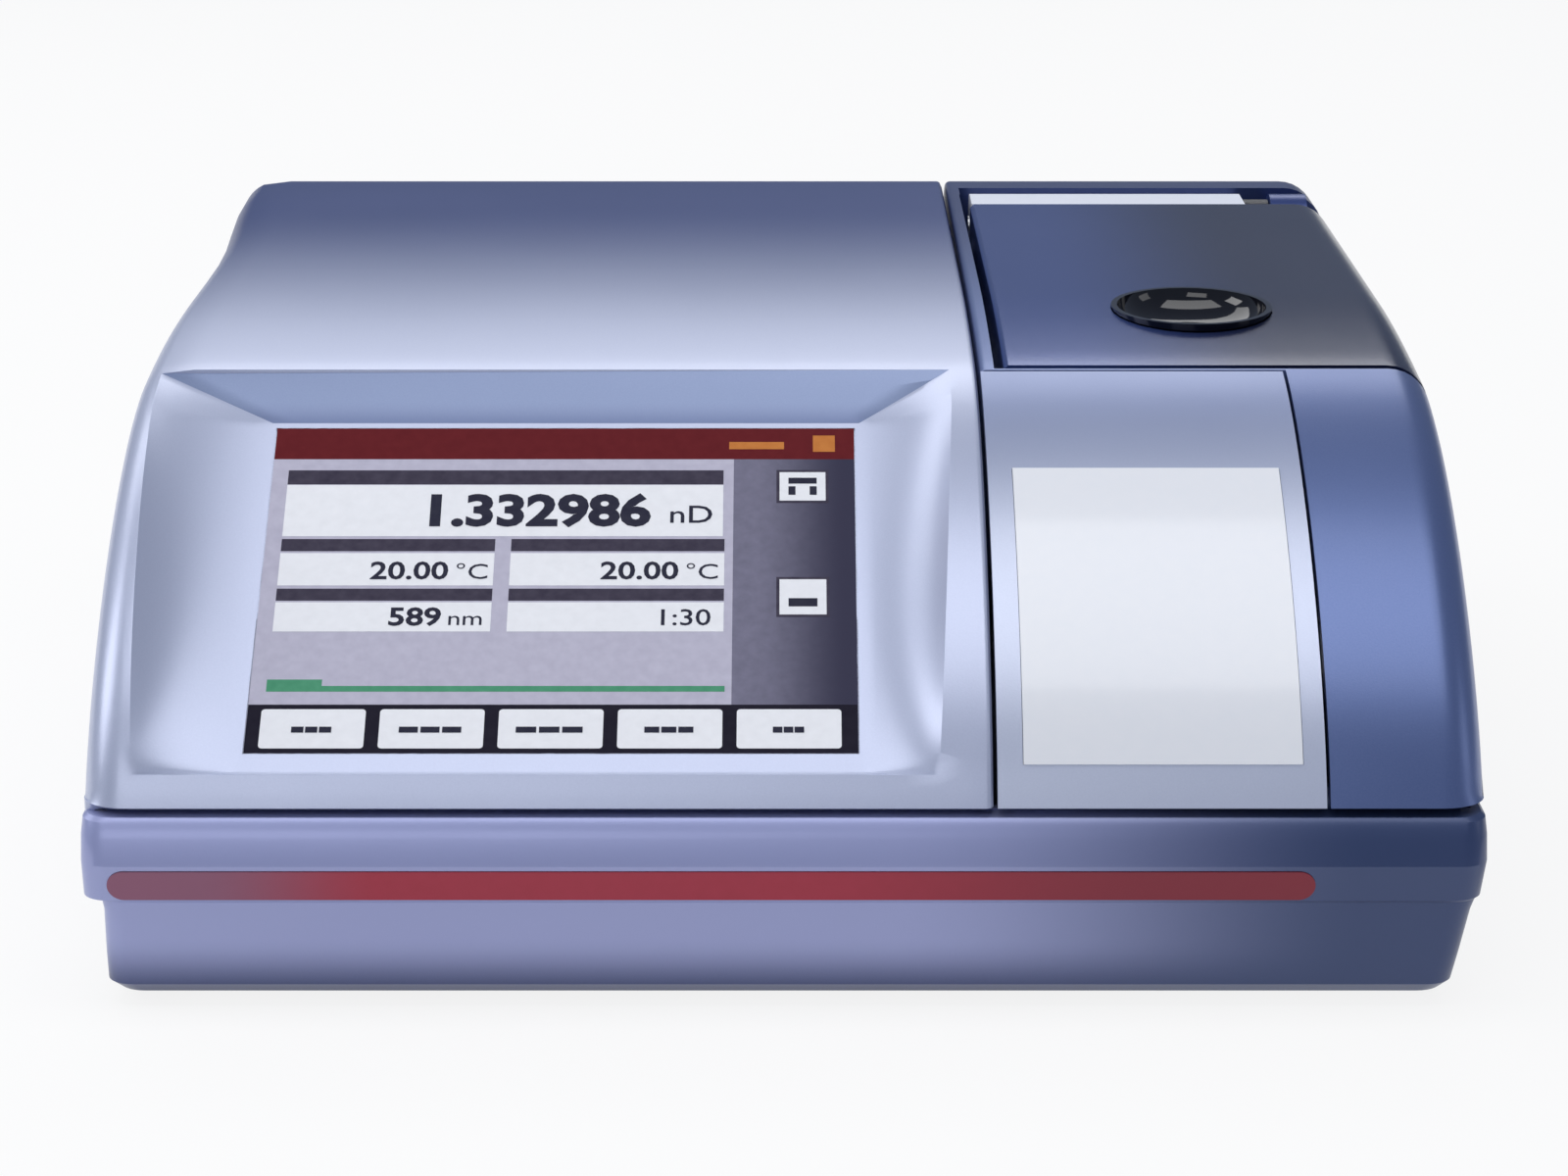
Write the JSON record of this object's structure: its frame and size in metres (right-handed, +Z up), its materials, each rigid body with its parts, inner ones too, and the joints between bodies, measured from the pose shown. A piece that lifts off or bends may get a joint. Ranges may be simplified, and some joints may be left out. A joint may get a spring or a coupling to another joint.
{
  "type": "abbe refractometer",
  "caption": "Bench refractometer: sloped housing with a recessed touch screen, a hinged sample lid over a prism well, a white front inlay and a red belt stripe.",
  "frame": {"origin": "centre of the footprint on the table, under the rubber feet", "axes": "+X to the right of someone facing the screen, +Y towards the rear panel, +Z up"},
  "size_m": [0.303, 0.345, 0.1223],
  "materials": {
    "housing_blue": "satin metallic",
    "housing_silver": "satin metallic",
    "lid_navy": "gloss metallic",
    "white_plate": "gloss",
    "red_trim": "gloss",
    "screen_glass": "gloss",
    "lcd": "gloss",
    "black_plastic": "matte",
    "black_gloss": "gloss",
    "rubber": "matte",
    "steel": "brushed",
    "chrome": "polished",
    "aluminium": "satin",
    "brass": "satin",
    "board_green": "satin",
    "ceramic": "satin",
    "sapphire": "polished",
    "rocker_red": "gloss"
  },
  "bodies": {
    "housing": {"base_tray": "housing_blue", "display_cover": "housing_silver", "sample_cover": "housing_blue", "front_tongue": "housing_silver", "inlay_plate": "white_plate", "red_stripe": "red_trim", "rear_panel": "aluminium", "touch_glass": "screen_glass", "lcd_panel": "lcd", "display_gasket": "rubber", "display_bracket": "steel", "main_board": "board_green", "board_chips": "black_plastic", "board_standoffs": "brass", "power_supply": "aluminium", "supply_parts": "brass", "inlet_socket": "black_plastic", "inlet_pins": "chrome", "switch_frame": "black_plastic", "ethernet_socket": "chrome", "usb_sockets": "chrome", "serial_socket": "chrome", "fan_frame": "black_plastic", "fan_guard": "chrome", "heat_sink": "aluminium", "peltier": "ceramic", "optic_block": "aluminium", "sapphire_prism": "sapphire", "prism_seal": "rubber", "sample_plate": "steel", "led_source": "board_green", "lens_tube": "black_plastic", "lens": "sapphire", "sensor_board": "board_green", "hinge_pin": "steel", "friction_hub": "black_plastic", "fixed_knuckle": "housing_silver", "deck_bumpers": "rubber", "rubber_feet": "rubber", "foot_screws": "steel", "case_screws": "steel", "panel_screws": "steel"},
    "lid": {"lid_shell": "lid_navy", "lid_barrel": "housing_silver", "lid_dish": "black_gloss", "lid_liner": "black_plastic", "lid_seal": "rubber"},
    "rocker": {"power_rocker": "rocker_red"},
    "rotor": {"fan_rotor": "black_plastic"},
    "drawer": {"fuse_drawer": "black_plastic"}
  },
  "joints": [
    {"name": "lid_hinge", "type": "hinge", "parent": "housing", "child": "lid", "pos_m": [0.0892, 0.1405, 0.113], "axis": [-1, 0, 0], "range_deg": [0, 92]},
    {"name": "power_rocker", "type": "hinge", "parent": "housing", "child": "rocker", "pos_m": [-0.06, 0.1675, 0.034], "axis": [1, 0, 0], "range_deg": [0, 18]},
    {"name": "fan_spin", "type": "hinge", "parent": "housing", "child": "rotor", "pos_m": [0.088, 0.1625, 0.05], "axis": [0, 1, 0], "continuous": true},
    {"name": "fuse_drawer_slide", "type": "slide", "parent": "housing", "child": "drawer", "axis": [0, 1, 0], "range_m": [0, 0.014]}
  ]
}
